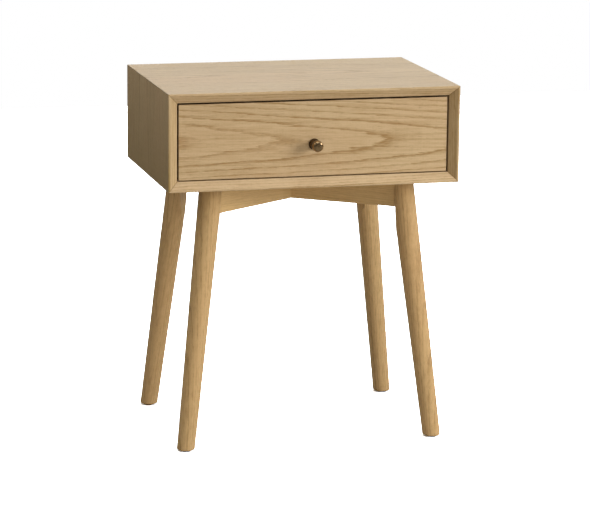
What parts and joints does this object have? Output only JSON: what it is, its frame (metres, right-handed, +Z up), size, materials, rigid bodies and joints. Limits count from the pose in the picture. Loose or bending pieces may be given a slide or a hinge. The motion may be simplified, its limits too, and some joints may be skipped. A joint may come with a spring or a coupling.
{
  "type": "bedside table with one drawer",
  "caption": "Oak bedside table: mitred case with a bevelled frame, inset drawer with a brass knob, and splayed round legs on a cross base.",
  "frame": {"origin": "on the floor, below the middle of the overall box (case and knob together)", "axes": "+X to the right seen from the front, +Y from the drawer to the back, +Z up"},
  "size_m": [0.5, 0.3696, 0.61],
  "materials": {
    "oak_case": "clear satin lacquer on oak, grain running round the case",
    "oak_drawer_front": "clear satin lacquer on oak, horizontal cathedral figure",
    "oak_base": "clear satin lacquer on solid oak, grain along each piece",
    "oak_faced_plywood": "thin lacquer on oak-faced plywood",
    "birch_box": "thin lacquer on birch",
    "beech_joinery": "bare beech and plywood",
    "antique_brass": "polished antique brass, darkened",
    "zinc_screws": "zinc plate",
    "slide_steel": "zinc-plated rolled steel",
    "ball_steel": "polished steel",
    "cage_plastic": "moulded acetal",
    "black_rubber": "moulded, matt"
  },
  "bodies": {
    "case": {"top_panel": "oak_case", "bottom_panel": "oak_case", "left_side_panel": "oak_case", "right_side_panel": "oak_case", "corner_splines": "beech_joinery", "back_panel": "oak_faced_plywood", "back_panel_screws": "zinc_screws", "front_left_leg": "oak_base", "front_right_leg": "oak_base", "rear_left_leg": "oak_base", "rear_right_leg": "oak_base", "cross_rail_front_left": "oak_base", "cross_rail_front_right": "oak_base", "leg_dowels": "beech_joinery", "base_screws": "zinc_screws", "foot_glides": "black_rubber", "left_cabinet_rail": "slide_steel", "right_cabinet_rail": "slide_steel", "cabinet_rail_screws": "zinc_screws", "slide_end_stops": "black_rubber"},
    "drawer": {"left_drawer_rail": "slide_steel", "right_drawer_rail": "slide_steel", "drawer_rail_screws": "zinc_screws", "drawer_front": "oak_drawer_front", "drawer_box_front": "birch_box", "drawer_box_back": "birch_box", "drawer_left_side": "birch_box", "drawer_right_side": "birch_box", "drawer_bottom": "oak_faced_plywood", "drawer_front_screws": "zinc_screws", "drawer_bottom_screws": "zinc_screws", "knob": "antique_brass", "knob_screw": "zinc_screws"},
    "middle_rails": {"left_middle_rail": "slide_steel", "right_middle_rail": "slide_steel"},
    "outer_ball_cages": {"left_outer_ball_cage": "cage_plastic", "right_outer_ball_cage": "cage_plastic", "outer_bearing_balls": "ball_steel"},
    "inner_ball_cages": {"left_inner_ball_cage": "cage_plastic", "right_inner_ball_cage": "cage_plastic", "inner_bearing_balls": "ball_steel"}
  },
  "joints": [
    {"name": "drawer_slide", "type": "slide", "parent": "case", "child": "drawer", "axis": [0, -1, 0], "range_m": [0, 0.3]},
    {"name": "middle_rail_slide", "type": "slide", "parent": "case", "child": "middle_rails", "axis": [0, -1, 0], "range_m": [0, 0.15]},
    {"name": "outer_cage_slide", "type": "slide", "parent": "case", "child": "outer_ball_cages", "axis": [0, -1, 0], "range_m": [0, 0.075]},
    {"name": "inner_cage_slide", "type": "slide", "parent": "case", "child": "inner_ball_cages", "axis": [0, -1, 0], "range_m": [0, 0.225]}
  ],
  "couplings": [
    {"joint": "middle_rail_slide", "follows": "drawer_slide", "ratio": 0.5},
    {"joint": "outer_cage_slide", "follows": "drawer_slide", "ratio": 0.25},
    {"joint": "inner_cage_slide", "follows": "drawer_slide", "ratio": 0.75}
  ]
}
